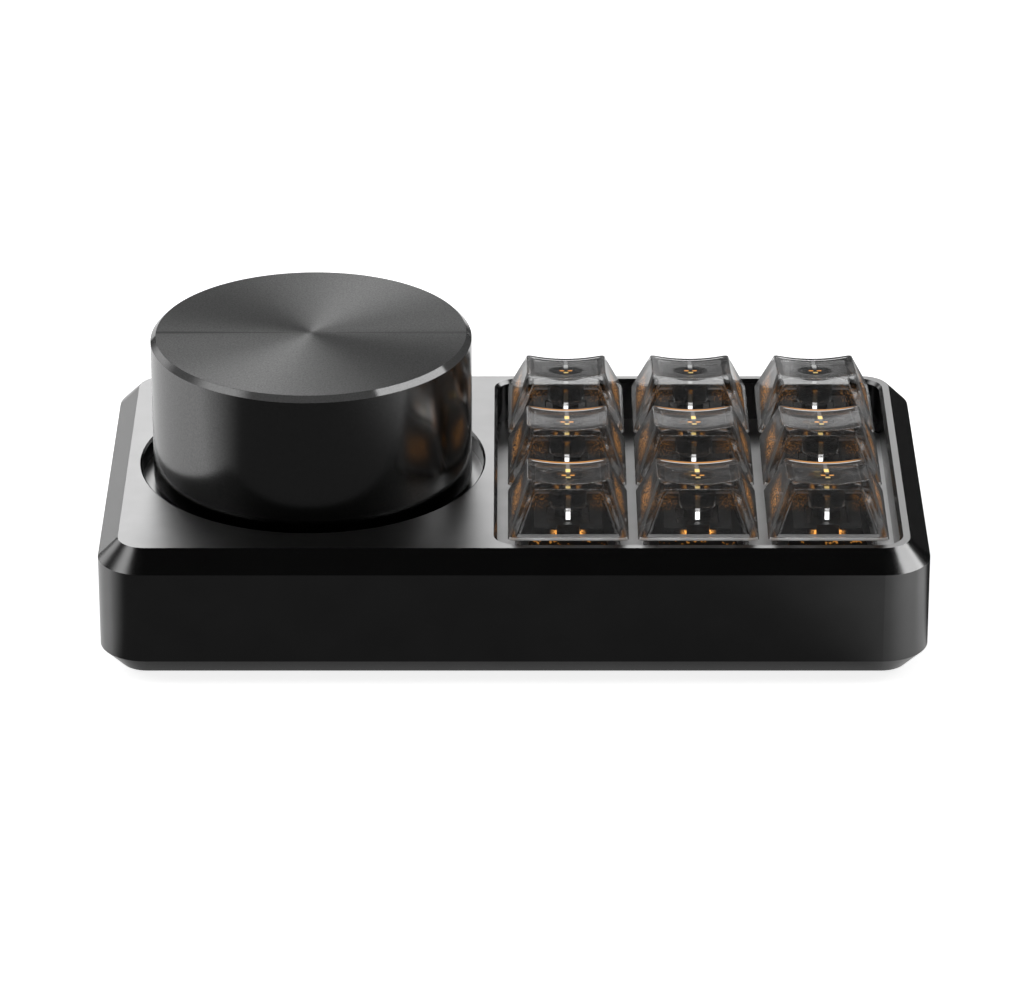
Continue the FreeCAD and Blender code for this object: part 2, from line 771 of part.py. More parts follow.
def make_usb():
    shell = rounded_bar("UsbShell", "usb_width", "usb_height", "usb_corner", "usb_back", "usb_length")
    room = rounded_bar("UsbRoom", "usb_width - 2 * usb_shell", "usb_height - 2 * usb_shell",
                       "usb_corner - usb_shell", "usb_back", "usb_length - usb_shell")
    keep(cut("UsbSocket", shell, room), "usb_socket")

    front = "usb_back - usb_length + usb_shell"
    tongue = box("UsbTongue", "tongue_width", "tongue_length", "tongue_thickness", "knob_x",
                 f"{front} + tongue_length / 2", "usb_axis - tongue_thickness / 2")
    keep(tongue, "usb_tongue")


def make_switch_bottom():
    """Lower housing: a flange on the plate, a box through it, a guide tube and pegs into the board."""
    body = new_body("SwitchBottom")
    flange = new_sketch(body, "BottomFlange")
    draw_rectangle(flange, "flange_size", "flange_size")
    pad(body, flange, "flange_thickness")
    tub = new_sketch(body, "BottomTub")
    draw_rectangle(tub, "body_size", "body_size")
    pad(body, tub, "-board_level", reverse=True)
    room = new_sketch(body, "BottomRoom", "flange_thickness")
    draw_rectangle(room, "housing_inner", "housing_inner")
    pocket(body, room, "flange_thickness - floor_level")
    tube = new_sketch(body, "GuideTube", "floor_level")
    draw_circle(tube, "guide_radius")
    pad(body, tube, "guide_height")
    pegs = new_sketch(body, "BottomPeg", "board_level")
    draw_circle(pegs, "peg_radius")
    for side in (-1, 1):
        draw_circle(pegs, "side_peg_radius", f"{side} * side_peg_offset")
    pad(body, pegs, "peg_length", reverse=True)
    bore = new_sketch(body, "GuideBore", "floor_level + guide_height")
    draw_circle(bore, "spike_radius + spike_fit")
    pocket(body, bore, "floor_level + guide_height - (spike_level - key_travel - spike_end_gap)")
    slots = new_sketch(body, "FloorSlots", "floor_level")
    draw_rectangle(slots, "lamp_slot_width", "lamp_slot_depth", "0", "-lamp_offset")
    for x, y in contact_pins():
        draw_rectangle(slots, "pin_width + 2 * pin_slot_gap", "leaf_thickness + 2 * pin_slot_gap", x, y)
    pocket(body, slots, "housing_wall")
    copies = [link(body, f"SwitchBottom{n}", x, y, "plate_top") for n, x, y in key_places()]
    group("switch_bottoms", copies)


def make_switch_top():
    """Upper housing: a hollow tapered cover with a square hole for the stem."""
    body = new_body("SwitchTop")
    lower = new_sketch(body, "TopLower", "flange_thickness")
    draw_rectangle(lower, "body_size", "body_size")
    upper = new_sketch(body, "TopUpper", "housing_height")
    draw_rectangle(upper, "housing_top_width", "housing_top_depth")
    loft(body, "AdditiveLoft", lower, upper)
    room_lower = new_sketch(body, "TopRoomLower", "flange_thickness")
    draw_rectangle(room_lower, "housing_inner", "housing_inner")
    room_upper = new_sketch(body, "TopRoomUpper", "ceiling_level")
    draw_rectangle(room_upper, "housing_top_width - 2 * housing_wall", "housing_top_depth - 2 * housing_wall")
    loft(body, "SubtractiveLoft", room_lower, room_upper)
    hole = new_sketch(body, "StemHole", "housing_height")
    draw_rectangle(hole, "collar_size + 2 * collar_gap", "collar_size + 2 * collar_gap")
    pocket(body, hole, "housing_wall")
    slot = new_sketch(body, "LampSlot", "housing_height")
    draw_rectangle(slot, "lamp_slot_width", "lamp_slot_depth", "0", "-lamp_offset")
    pocket(body, slot, "housing_height - flange_thickness")
    return body


def make_stem():
    """Sliding stem: cross on top, collar, wings that stop it, a skirt round the spring and a spike."""
    body = new_body("Stem")
    skirt = new_sketch(body, "StemSkirt", "skirt_level")
    draw_rectangle(skirt, "collar_size", "collar_size")
    pad(body, skirt, "collar_level - skirt_level")
    wings = new_sketch(body, "StemWings", "pocket_level")
    draw_rectangle(wings, "wing_width", "collar_size")
    pad(body, wings, "wing_thickness")
    cross = new_sketch(body, "StemCross", "collar_level")
    draw_cross(cross, "cross_length", "cross_thickness")
    pad(body, cross, "cross_height")
    room = new_sketch(body, "SpringRoom", "skirt_level")
    draw_circle(room, "spring_radius + spring_gap")
    pocket(body, room, "pocket_level - skirt_level", reverse=True)
    spike = new_sketch(body, "StemSpike", "pocket_level")
    draw_circle(spike, "spike_radius")
    pad(body, spike, "spike_length", reverse=True)
    return body


def make_spring():
    """The space of the return spring, between the housing's floor and the stem."""
    length = "pocket_level - floor_level"
    outer = cylinder("SpringOuter", "spring_radius", length, z="floor_level")
    inner = cylinder("SpringInner", "spring_radius - spring_wire", length, z="floor_level")
    return cut("Spring", outer, inner)


def make_keycap():
    """Clear keycap: a tapered hollow cap with a tilted, dished top and a socket for the stem."""
    body = new_body("Keycap")
    base = new_sketch(body, "CapBase", "cap_lift")
    draw_rounded_rectangle(base, "cap_width", "cap_depth", "cap_skirt_radius")
    crown = new_sketch(body, "CapCrown", "cap_top_level", tilt="-cap_tilt", shift="cap_top_y")
    draw_rounded_rectangle(crown, "cap_top_width", "cap_top_depth", "cap_crown_radius")
    loft(body, "AdditiveLoft", base, crown)

    dish = new_sketch(body, "CapDish", "0", "XZ_Plane", tilt="-cap_tilt")
    height = "(cap_top_level) * cos(cap_tilt) + (cap_top_y) * sin(cap_tilt)"
    draw_circle(dish, "dish_radius", "0", f"{height} + dish_radius - dish_depth")
    hollow = pocket(body, dish)
    hollow.Midplane = True

    inner_base = new_sketch(body, "CapInnerBase", "cap_lift")
    draw_rounded_rectangle(inner_base, "cap_width - 2 * cap_wall", "cap_depth - 2 * cap_wall",
                           "cap_inner_radius")
    below = "dish_depth + cap_top_thickness"
    ceiling = new_sketch(body, "CapCeiling", f"cap_top_level - ({below}) * cos(cap_tilt)",
                         tilt="-cap_tilt", shift="cap_top_y")
    draw_rounded_rectangle(ceiling, "cap_top_width - 2 * cap_wall + cap_ceiling_ease_width",
                           "cap_top_depth - 2 * cap_wall + cap_ceiling_ease_depth", "cap_inner_radius")
    loft(body, "SubtractiveLoft", inner_base, ceiling)

    boss = new_sketch(body, "CapBoss", "cap_boss_lift")
    draw_circle(boss, "cap_boss_radius")
    post = pad(body, boss, "1")
    post.Type = "UpToFirst"
    socket = new_sketch(body, "CapSocket", "cap_boss_lift")
    draw_cross(socket, "cross_length + 2 * cross_fit", "cross_thickness + 2 * cross_fit")
    pocket(body, socket, "cross_level - cap_boss_lift", reverse=True)
    return body


def make_contact_leaves():
    """Two thin leaves in each switch, with the pins that go down through the board."""
    copies = []
    tops = [("-leaf_side", "leaf_offset"), ("leaf_side", "leaf_offset + leaf_spacing")]
    masters = []
    for number, ((pin_x, pin_y), (leaf_x, leaf_y)) in enumerate(zip(contact_pins(), tops), start=1):
        pin = box(f"LeafPin{number}", "pin_width", "leaf_thickness",
                  "housing_wall + pin_length + leaf_thickness", pin_x, pin_y, "board_level - pin_length")
        reach = f"abs(({leaf_y}) - ({pin_y})) + leaf_thickness"
        span = f"abs(({leaf_x}) - ({pin_x})) + pin_width"
        foot = box(f"LeafFoot{number}", span, reach, "leaf_thickness",
                   f"(({leaf_x}) + ({pin_x})) / 2", f"(({leaf_y}) + ({pin_y})) / 2", "floor_level")
        blade = box(f"LeafBlade{number}", "leaf_width", "leaf_thickness", "leaf_height",
                    leaf_x, leaf_y, "floor_level")
        masters.append(fuse(f"Leaf{number}", [pin, foot, blade]))
    for number, x, y in key_places():
        for side, master in enumerate(masters, start=1):
            copies.append(link(master, f"Leaf{side}of{number}", x, y, "plate_top"))
    group("contact_leaves", copies)


def make_keys():
    masters = {"keycap": make_keycap(), "stem": make_stem(),
               "spring": make_spring(), "switch_top": make_switch_top()}
    for name, master in masters.items():
        for number, x, y in key_places():
            keep(link(master, f"{name}_{number}", x, y, "plate_top"), f"{name}_{number}")


def make_encoder():
    first = len(pieces)
    block = box("EncoderBlock", "encoder_width", "encoder_depth", "recess_under - bushing_flange - board_top",
                z="board_top")
    cup = cylinder("EncoderCup", "encoder_cup_radius", "recess_under - board_top",
                   z="board_top + encoder_cup_floor")
    keep(cut("EncoderBody", block, cup), "encoder_body")

    flange = box("BushingFlange", "encoder_width", "encoder_depth", "bushing_flange",
                 z="recess_under - bushing_flange")
    tube = cylinder("BushingTube", "bushing_radius", "bushing_length", z="recess_under")
    bore = cylinder("BushingBore", "shaft_radius + shaft_fit", "bushing_flange + bushing_length",
                    z="recess_under - bushing_flange")
    keep(cut("Bushing", fuse("BushingForm", [flange, tube]), bore), "encoder_bushing")

    disc = cylinder("WasherDisc", "washer_radius", "washer_thickness", z="recess_floor")
    hole = cylinder("WasherHole", "bushing_radius + nut_fit", "washer_thickness", z="recess_floor")
    keep(cut("Washer", disc, hole), "encoder_washer")

    body = new_body("Nut")
    outline = new_sketch(body, "NutOutline", "recess_floor + washer_thickness")
    across = "nut_across_flats"
    corners = [(f"{across} / 2", f"{across} / 2 * tan(30)"), ("0", f"{across} / 2 / cos(30)"),
               (f"-{across} / 2", f"{across} / 2 * tan(30)"), (f"-{across} / 2", f"-{across} / 2 * tan(30)"),
               ("0", f"-{across} / 2 / cos(30)"), (f"{across} / 2", f"-{across} / 2 * tan(30)")]
    draw_outline(outline, corners)
    draw_circle(outline, "bushing_radius + nut_fit")
    pad(body, outline, "nut_height")
    keep(body, "encoder_nut")

    disc = cylinder("PlungerDisc", "plunger_radius", "plunger_thickness",
                    z="rotor_bottom - plunger_thickness")
    nib = cylinder("PlungerNib", "plunger_nib_radius", "plunger_nib_length",
                   z="rotor_bottom - plunger_thickness - plunger_nib_length")
    keep(fuse("Plunger", [disc, nib]), "encoder_plunger")

    rotor = cylinder("Rotor", "rotor_radius", "rotor_thickness", z="rotor_bottom")
    rod = cylinder("ShaftRod", "shaft_radius", "shaft_top - rotor_bottom", z="rotor_bottom")
    flat = box("ShaftFlat", "2 * shaft_radius", "shaft_radius", "shaft_flat_length",
               y="1.5 * shaft_radius - shaft_flat", z="shaft_top - shaft_flat_length")
    keep(cut("Shaft", fuse("ShaftForm", [rotor, rod]), flat), "encoder_shaft")

    for piece in pieces[first:]:
        stand_on_knob_axis(piece)


def stand_on_knob_axis(piece):
    """Move a piece that was built round the origin to the axis of the knob."""
    place(piece, "knob_x")


def make_knob():
    body = new_body("Knob")
    profile = new_sketch(body, "KnobProfile", role="XZ_Plane")
    inner = "knob_radius - knob_wall"
    bore, bore_top = "shaft_radius + shaft_fit", "shaft_top + shaft_end_gap"
    draw_outline(profile, [
        (bore, "knob_boss_bottom"), ("knob_boss_radius", "knob_boss_bottom"),
        ("knob_boss_radius", "knob_ceiling"), (inner, "knob_ceiling"), (inner, "knob_bottom"),
        ("knob_radius - knob_lower_chamfer", "knob_bottom"),
        ("knob_radius", "knob_bottom + knob_lower_chamfer"),
        ("knob_radius", "knob_top - knob_chamfer"),
        ("knob_radius - knob_chamfer", "knob_top"), ("0", "knob_top"),
        ("0", bore_top), (bore, bore_top)])
    revolve(body, profile)
    hole = new_sketch(body, "GrubHole", role="XZ_Plane")
    draw_circle(hole, "grub_radius + screw_fit", "0", "grub_z")
    pocket(body, hole)
    keep(body, "knob")
    stand_on_knob_axis(body)

    length = "knob_boss_radius - shaft_radius + shaft_flat"
    rod = cylinder("GrubRod", "grub_radius", length)
    drive = box("GrubDrive", "grub_hex", "grub_hex", "grub_hex", z=f"{length} - grub_hex")
    grub = cut("Grub", rod, drive)
    grub.Placement.Rotation = FreeCAD.Rotation(FreeCAD.Vector(1, 0, 0), -90)
    place(grub, "knob_x", "shaft_radius - shaft_flat", "grub_z")
    keep(grub, "knob_grub_screw")


def check_features():
    """Stop if anything failed, or if a cut took nothing away."""
    document.recompute()
    for item in document.Objects:
        if {"Invalid", "Error"} & set(item.State):
            raise RuntimeError(f"{item.Name} failed: {item.State}")
        if item.TypeId in ("PartDesign::Pocket", "PartDesign::SubtractiveLoft"):
            before = item.BaseFeature.Shape.Volume
            if item.Shape.Volume > before - LEAST_CUT:
                raise RuntimeError(f"{item.Name} cuts nothing")


def write_pieces():
    os.makedirs("parts", exist_ok=True)
    shapes = {}
    for piece in pieces:
        shape = Part.getShape(piece)
        if shape.isNull() or not shape.isValid() or not shape.Solids:
            raise RuntimeError(f"{piece.Label} has no sound shape")
        shapes[piece.Label] = shape
    for label, shape in shapes.items():
        shape.exportStep(f"parts/{label}.step")
    print(f"{len(shapes)} sub-parts written")


make_case()
make_base_plate()
make_screws()
make_switch_plate()
make_board()
make_board_parts()
make_usb()
make_switch_bottom()
make_contact_leaves()
make_keys()
make_encoder()
make_knob()
check_features()
write_pieces()
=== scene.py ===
import json
import math

import bpy
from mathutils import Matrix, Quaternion, Vector


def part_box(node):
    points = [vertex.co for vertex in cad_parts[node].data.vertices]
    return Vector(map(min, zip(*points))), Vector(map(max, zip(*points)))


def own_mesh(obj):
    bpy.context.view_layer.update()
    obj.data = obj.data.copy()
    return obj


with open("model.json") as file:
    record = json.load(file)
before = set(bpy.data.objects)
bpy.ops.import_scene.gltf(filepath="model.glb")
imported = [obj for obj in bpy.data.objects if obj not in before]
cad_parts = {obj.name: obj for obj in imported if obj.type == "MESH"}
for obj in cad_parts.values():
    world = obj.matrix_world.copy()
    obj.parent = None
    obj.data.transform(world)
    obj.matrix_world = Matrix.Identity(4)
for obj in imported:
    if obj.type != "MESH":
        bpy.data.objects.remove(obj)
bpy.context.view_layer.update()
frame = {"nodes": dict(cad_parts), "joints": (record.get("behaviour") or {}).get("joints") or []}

nodes = frame["nodes"]
MM = 0.001

# Camera: a long lens that looks down on the front of the keypad
CAMERA_PLACE = (-0.0003, -0.787604, 0.382507)
CAMERA_TILT = math.radians(65.024)
CAMERA_LENS = 202.32
SENSOR_WIDTH = 36.0

# Studio: a table and a dark tent round it, in metres
FLOOR_SIZE = 8.0
FLOOR_GLOW = 0.8
FLOOR_GLOW_IN_METAL = 0.35
TENT_RADIUS = 3.0
TENT_BELOW, TENT_ABOVE = 0.05, 0.01
AMBIENT = 0.35
CARD_DISTANCE = 2.4

# Black cloth on the table: it turns round pivots near the case's ends, and each pair is where it fades
FLAG_SIZE = 4.0
FLAG_TONE = 0.03
FLAG_LEVEL = 0.2 * MM
FLAG_PIVOT_X = 54 * MM
FLAG_PIVOT_Y = 27 * MM
FLAG_START = (25 * MM, 35 * MM)
FLAG_LEFT = (math.radians(40), math.radians(104))
FLAG_RIGHT = (math.radians(-30), math.radians(70))
FLAG_RIGHT_COVER = (0.97, 0.3)
FLAG_BEHIND_FROM = (math.radians(-5), math.radians(12))
FLAG_BEHIND_TO = (math.radians(50), math.radians(75))

# Places on the knob and the keys, from the frame
knob_low, knob_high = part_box("knob")
knob_axis = (knob_low + knob_high) / 2
housing_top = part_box("switch_top_1")[1].z
stem_low, stem_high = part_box("stem_1")
stem_width = stem_high.x - stem_low.x
stem_top = stem_high.z
cap_low, cap_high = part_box("keycap_1")
cap_height = cap_high.z - cap_low.z

# Clear caps: their edges, the height of the painted pale strip at the foot of the front wall, their taper in
# shares of their box, and what the clear and milky parts let through; the milkier side walls are painted
# light
CAP_ROUNDING = 0.35 * MM
PAINTED_LIP_LIGHT_HEIGHT = 0.4 * MM
CAP_TAPER = 0.16
CAP_OUTSIDE = 0.46
CLEAR, SIDE_CLEAR = 0.99, 0.38
SMOKE, SIDE_SMOKE = 0.36, 0.21
CAP_SHADOW = 0.6

# Finish of the metal
GRAIN = 0.12 * MM
GRAIN_DEPTH = 0.0015 * MM
TOP_ROUGHNESS = 0.40
SIDE_ROUGHNESS = 0.21
KNOB_CHAMFER = 0.8 * MM
KNOB_SIDE_ROUGHNESS = 0.17
CHAMFER_ROUGHNESS = 0.07
CHAMFER_METAL = 0.45
BRUSHING = 0.85
BRUSHING_TURN = 0.114    # turns that the brushing is rotated by
GROOVE = 0.06 * MM
# Painted shade: tone of a dark line across the knob's top, standing in for a dark streak in its reflection
PAINTED_DARK_LINE_TONE = 0.03

# Painted amber and white light in the keys, given off as emission rather than carried from the lamps: the
# painted glowing arm of each stem, and painted spots where the lamp's light would leak out
AMBER = (1.0, 0.42, 0.08, 1)
YELLOW = (1.0, 0.72, 0.25, 1)
PALE = (1.0, 0.8, 0.55, 1)
LAMP_LIGHT = (1.0, 0.45, 0.08, 1)
PAINTED_BAR_HALF_WIDTH = 0.33 * MM
PAINTED_BAR_HEIGHT = 1.9 * MM


class Nodes:
    """A node tree with short ways to add and join nodes."""

    def __init__(self, tree):
        self.tree = tree

    def add(self, kind, inputs=None, **settings):
        made = self.tree.nodes.new(kind)
        for name, value in settings.items():
            setattr(made, name, value)
        for name, value in (inputs or {}).items():
            self.feed(made.inputs[name], value)
        return made

    def feed(self, socket, value):
        if isinstance(value, bpy.types.NodeSocket):
            self.tree.links.new(value, socket)
        else:
            socket.default_value = value

    def place(self):
        """Position on the piece in the row frame, in metres."""
        return self.add("ShaderNodeTexCoord").outputs["Object"]

    def noise(self, size, detail=2.0, vector=None, roughness=0.5):
        """Noise whose patches are about the given size in metres."""
        where = vector or self.place()
        inputs = {"Vector": where, "Scale": 1 / size, "Detail": detail, "Roughness": roughness}
        return self.add("ShaderNodeTexNoise", inputs).outputs["Fac"]

    def vary(self, noise, low, high):
        """Noise spread from low to high; most of it lies between 0.3 and 0.7."""
        return self.remap(noise, 0.3, 0.7, low, high)

    def remap(self, value, low, high, new_low, new_high, smooth=False):
        inputs = {"Value": value, "From Min": low, "From Max": high, "To Min": new_low, "To Max": new_high}
        kind = "SMOOTHSTEP" if smooth else "LINEAR"
        return self.add("ShaderNodeMapRange", inputs, interpolation_type=kind).outputs["Result"]

    def math(self, operation, first, second=0.0):
        made = self.add("ShaderNodeMath", operation=operation)
        self.feed(made.inputs[0], first)
        self.feed(made.inputs[1], second)
        return made.outputs[0]

    def near(self, value, middle, reach, fade):
        """1 within reach of the middle, falling to 0 over the fade."""
        off = self.math("ABSOLUTE", self.math("SUBTRACT", value, middle))
        return self.remap(off, reach, reach + fade, 1, 0, smooth=True)

    def all_of(self, first, *others):
        for other in others:
            first = self.math("MULTIPLY", first, other)
        return first

    def within(self, where, **bands):
        """1 inside every band: each has a middle, a reach and a fade, on one of the places in where."""
        return self.all_of(*[self.near(where[name], *band) for name, band in bands.items()])

    def generated(self):
        """Place from 0 to 1 across the piece's own box, and the distance from its middle plane."""
        spot = self.split(self.add("ShaderNodeTexCoord").outputs["Generated"])
        off_middle = self.math("ABSOLUTE", self.math("SUBTRACT", spot["X"], 0.5))
        return {"off_middle": off_middle, "depth": spot["Y"], "height": spot["Z"]}

    def mix(self, factor, first, second):
        made = self.add("ShaderNodeMix", data_type="RGBA")
        self.feed(made.inputs["Factor"], factor)
        self.feed(made.inputs["A"], first)
        self.feed(made.inputs["B"], second)
        return made.outputs["Result"]

    def bump(self, height, distance, strength=1.0):
        inputs = {"Height": height, "Distance": distance, "Strength": strength}
        return self.add("ShaderNodeBump", inputs).outputs["Normal"]

    def split(self, vector):
        return self.add("ShaderNodeSeparateXYZ", {"Vector": vector}).outputs

    def mix_shaders(self, factor, first, second):
        made = self.add("ShaderNodeMixShader")
        for socket, value in zip(made.inputs, (factor, first, second)):
            self.feed(socket, value)
        return made.outputs["Shader"]


class Paint(Nodes):
    """A new material and its nodes."""

    def __init__(self, name):
        self.material = bpy.data.materials.new(name)
        self.material.use_nodes = True
        super().__init__(self.material.node_tree)
        self.shader = self.tree.nodes["Principled BSDF"]
        self.output = self.tree.nodes["Material Output"]

    def set(self, **inputs):
        for name, value in inputs.items():
            self.feed(self.shader.inputs[name.replace("_", " ")], value)

    def show(self, shader):
        """Use this shader instead of the usual one."""
        self.feed(self.output.inputs["Surface"], shader)

    def glow(self, parts):
        """Painted light given off by the piece as emission: each part is a mask, a colour and a strength."""
        colour, strength = grey(1.0), 0.0
        for mask, tint, level in parts:
            colour = self.mix(self.math("GREATER_THAN", mask, 0.02), colour, tint)
            strength = self.math("ADD", strength, self.math("MULTIPLY", mask, level))
        self.set(Emission_Color=colour, Emission_Strength=strength)


def dress(names, material):
    """Give CAD nodes a material in place of the plain one."""
    for name in names:
        piece = nodes[name]
        piece.data.materials.clear()
        piece.data.materials.append(material)


def numbered(name):
    return [f"{name}_{number}" for number in range(1, 10)]


def grey(level):
    return (level, level, level, 1)


def grained_metal(name, dark, light):
    """Anodised metal with a fine blasted grain, and how uneven its gloss is, about 1."""
    paint = Paint(name)
    grain = paint.noise(GRAIN, 3.0)
    colour = paint.mix(paint.vary(paint.noise(6 * MM), 0, 1), dark, light)
    paint.set(Base_Color=colour, Metallic=1.0, Normal=paint.bump(grain, GRAIN_DEPTH))
    return paint, paint.vary(grain, 0.92, 1.08)


def satin_metal(name, dark, light, roughness):
    paint, uneven = grained_metal(name, dark, light)
    paint.set(Roughness=paint.math("MULTIPLY", uneven, roughness))
    return paint.material


def make_case_metal():
    """Blasted top face, and sides and chamfers that were cut finer."""
    paint, uneven = grained_metal("case_metal", grey(0.17), grey(0.19))
    facing = paint.split(paint.add("ShaderNodeNewGeometry").outputs["Normal"])
    level = paint.math("GREATER_THAN", facing["Z"], 0.99)
    roughness = paint.remap(level, 0, 1, SIDE_ROUGHNESS, TOP_ROUGHNESS)
    paint.set(Roughness=paint.math("MULTIPLY", uneven, roughness))
    return paint.material


def make_knob_metal():
    """Satin side, a bright-cut chamfer and a top face brushed round the axis, with a painted dark line across
    it, darker at the left, standing in for a dark streak in the brushed reflection.
    """
    paint = Paint("knob_metal")
    place = paint.split(paint.place())
    across = paint.math("SUBTRACT", place["X"], knob_axis.x)
    along = paint.math("SUBTRACT", place["Y"], knob_axis.y)
    square = paint.math("ADD", paint.math("MULTIPLY", across, across), paint.math("MULTIPLY", along, along))
    radius = paint.math("SQRT", square)
    on_top = paint.math("GREATER_THAN", place["Z"], knob_high.z - 0.02 * MM)
    above_side = paint.math("GREATER_THAN", place["Z"], knob_high.z - KNOB_CHAMFER - 0.05 * MM)
    on_chamfer = paint.math("SUBTRACT", above_side, on_top)

    rings = paint.add("ShaderNodeCombineXYZ", {"X": radius}).outputs["Vector"]
    groove = paint.noise(GROOVE, vector=rings)
    height = paint.mix(on_top, paint.noise(GRAIN, 3.0), groove)
    round_axis = paint.add("ShaderNodeTangent", direction_type="RADIAL", axis="Z").outputs["Tangent"]
    side = paint.remap(on_chamfer, 0, 1, KNOB_SIDE_ROUGHNESS, CHAMFER_ROUGHNESS)
    paint.set(Normal=paint.bump(height, GRAIN_DEPTH), Tangent=round_axis)
    paint.set(Anisotropic=paint.math("MULTIPLY", on_top, BRUSHING), Anisotropic_Rotation=BRUSHING_TURN)
    paint.set(Roughness=paint.mix(on_top, side, paint.vary(groove, 0.58, 0.66)))
    paint.set(Metallic=paint.remap(on_chamfer, 0, 1, 1.0, CHAMFER_METAL))

    # Painted shade: a dark line across the top, stronger at the left, standing in for a dark streak in the
    # brushed reflection
    off_painted_dark_line = paint.math("DIVIDE", paint.math("ABSOLUTE", along), paint.math("MAXIMUM", radius, 0.1 * MM))
    painted_dark_line = paint.all_of(on_top, paint.remap(off_painted_dark_line, 0.004, 0.03, 1, 0),
                        paint.remap(across, -20 * MM, 20 * MM, 0.8, 0.4))
    speckled = paint.noise(0.25 * MM, roughness=0.7)
    tone = paint.mix(on_top, paint.vary(speckled, 0.15, 0.2), paint.vary(speckled, 0.08, 0.14))
    paint.set(Base_Color=paint.mix(painted_dark_line, tone, grey(PAINTED_DARK_LINE_TONE)))
    return paint.material


def make_smoked_glass(name, key_behind):
    """Smoke-grey clear plastic with rounded edges, side walls painted milky grey as painted light, and
    painted amber glints and highlights glowing inside.
    """
    paint = Paint(name)
    where = paint.generated()
    tapered = paint.math("ADD", where["off_middle"], paint.math("MULTIPLY", where["height"], CAP_TAPER))
    facing = paint.split(paint.add("ShaderNodeNewGeometry").outputs["Normal"])
    # Painted light: walls facing left and right are made milky grey and less glossy, standing in for the grey
    # light seen in them
    side = paint.remap(paint.math("ABSOLUTE", facing["X"]), 0.5, 0.8, 0, 1)
    side = paint.math("MULTIPLY", side, paint.math("GREATER_THAN", tapered, CAP_OUTSIDE))
    in_front = paint.math("LESS_THAN", facing["Y"], -0.5)
    # Painted highlight: a pale milky strip at the foot of the front wall; faces looking up get a little
    # painted grey haze
    painted_lip_light = paint.all_of(in_front, paint.math("LESS_THAN", where["height"], PAINTED_LIP_LIGHT_HEIGHT / cap_height))
    crown = paint.math("GREATER_THAN", facing["Z"], 0.8)

    clouds = paint.vary(paint.noise(5 * MM), 0.95, 1.05)
    tint = paint.math("MULTIPLY", clouds, paint.remap(side, 0, 1, SMOKE, SIDE_SMOKE))
    tint = paint.math("MAXIMUM", tint, paint.math("MULTIPLY", painted_lip_light, 0.85))
    painted_haze = paint.math("ADD", paint.math("MULTIPLY", painted_lip_light, 0.65), paint.math("MULTIPLY", crown, 0.14))
    clarity = paint.math("SUBTRACT", paint.remap(side, 0, 1, CLEAR, SIDE_CLEAR), painted_haze)
    paint.set(Base_Color=tint, Transmission_Weight=clarity, IOR=paint.remap(side, 0, 1, 1.25, 1.06))
    paint.set(Coat_Weight=paint.remap(side, 0, 1, 0.6, 0.1), Coat_Roughness=0.08)
    rounded = paint.add("ShaderNodeBevel", {"Radius": CAP_ROUNDING}, samples=6).outputs["Normal"]
    paint.set(Roughness=paint.vary(paint.noise(2 * MM), 0.04, 0.07), Normal=rounded, Coat_Normal=rounded)
    # Painted light: the cap's own surface glows with amber glints and white highlights
    paint.glow(painted_light_in_cap(paint, where, key_behind))

    shadow = paint.add("ShaderNodeLightPath").outputs["Is Shadow Ray"]
    clear = paint.add("ShaderNodeBsdfTransparent", {"Color": grey(CAP_SHADOW)}).outputs["BSDF"]
    paint.show(paint.mix_shaders(shadow, paint.shader.outputs["BSDF"], clear))
    return paint.material


def painted_light_in_cap(paint, where, key_behind):
    """Masks, colours and strengths of the painted light in a cap: glints, spots and highlight streaks given
    off as emission, not light carried from the lamps. One with a lit key behind it also gets a painted amber
    glow along the back edge of its top."""
    depth, height = where["depth"], where["height"]
    speckle = paint.remap(paint.noise(0.22 * MM, 1.0), 0.55, 0.63, 0, 1)
    near_top = paint.math("GREATER_THAN", height, 0.7)
    on_crown = paint.math("GREATER_THAN", height, 0.6)

    # Painted light, all as emission: amber glints on the walls and corners, amber petals and a yellow spot
    # over the stem, a grey streak, a white highlight across the back of the top, and a bright patch
    walls = paint.within(where, off_middle=(0.45, 0.04, 0.1), depth=(0.46, 0.05, 0.3),
                         height=(0.41, 0.05, 0.25))
    corners = paint.within(where, off_middle=(0.27, 0.03, 0.1), height=(0.66, 0.05, 0.15))
    corners = paint.all_of(corners, paint.math("LESS_THAN", depth, 0.3))
    petals = paint.within(where, off_middle=(0.035, 0.012, 0.012), depth=(0.445, 0.012, 0.012))
    spot = paint.within(where, off_middle=(0.0, 0.018, 0.004), depth=(0.375, 0.02, 0.008))
    streak = paint.within(where, off_middle=(0.0, 0.014, 0.004), depth=(0.67, 0.16, 0.01))
    edge = paint.within(where, off_middle=(0.0, 0.28, 0.03), depth=(0.846, 0.006, 0.004))
    hot = paint.within(where, off_middle=(0.0, 0.018, 0.004), depth=(0.61, 0.045, 0.02))

    parts = [(walls, speckle, AMBER, 0.9), (corners, speckle, AMBER, 0.12), (petals, near_top, AMBER, 1.0),
             (spot, near_top, YELLOW, 0.8), (streak, on_crown, grey(0.7), 0.2),
             (edge, on_crown, grey(1.0), 1.0)]
    if key_behind:
        painted_rim_glow = paint.within(where, off_middle=(0.0, 0.15, 0.2), depth=(0.885, 0.014, 0.012))
        parts += [(painted_rim_glow, on_crown, AMBER, 0.8), (hot, on_crown, YELLOW, 1.2)]
    else:
        parts += [(hot, on_crown, grey(0.8), 0.35)]
    return [(paint.all_of(mask, share), colour, level) for mask, share, colour, level in parts]


